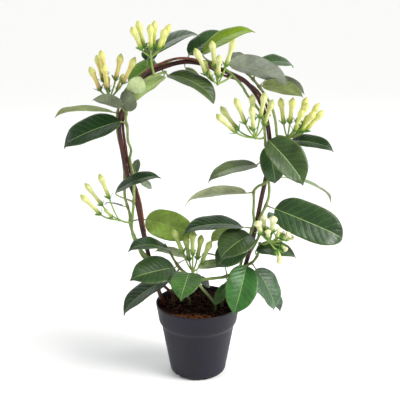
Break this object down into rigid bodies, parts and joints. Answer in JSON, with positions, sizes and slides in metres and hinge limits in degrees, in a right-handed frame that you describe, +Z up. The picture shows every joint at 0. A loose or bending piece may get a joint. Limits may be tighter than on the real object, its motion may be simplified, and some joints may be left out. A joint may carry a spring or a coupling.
{
  "type": "madagascar jasmine in a nursery pot, trained on a hoop",
  "caption": "Potted climbing plant with glossy oval leaves and heads of cream buds, its stems twined round an upright wire hoop",
  "frame": {"origin": "middle of the pot's flat base", "axes": "+Z up along the pot's axis, -Y towards the show side, +X to the right seen from the show side; the hoop stands in the X-Z plane"},
  "size_m": [0.3941, 0.1438, 0.4972],
  "materials": {
    "pot_plastic": "moulded polypropylene, satin dark grey",
    "potting_soil": "damp peat and coir crumbs, matt dark brown",
    "hoop_sleeve": "plastic-sleeved wire, glossy dark maroon brown",
    "woody_stem": "thin reddish-brown bark",
    "leaf": "glossy leathery leaf, dark green with a pale midrib",
    "bud": "waxy cream and yellow-green buds"
  },
  "bodies": {
    "root": {"pot": "pot_plastic", "soil": "potting_soil", "hoop": "hoop_sleeve", "woody_stem": "woody_stem", "leafy_stem_left": "leaf", "leafy_stem_top": "leaf", "leafy_stem_right_inner": "leaf", "leafy_stem_right_outer": "leaf", "leafy_stem_low": "leaf", "bud_head_upper_left": "bud", "bud_head_top_left": "bud", "bud_head_top_middle": "bud", "bud_head_lower_left": "bud", "bud_head_right_inner": "bud", "bud_head_right_outer": "bud", "bud_head_low": "bud", "bud_head_low_right": "bud"}
  },
  "joints": []
}
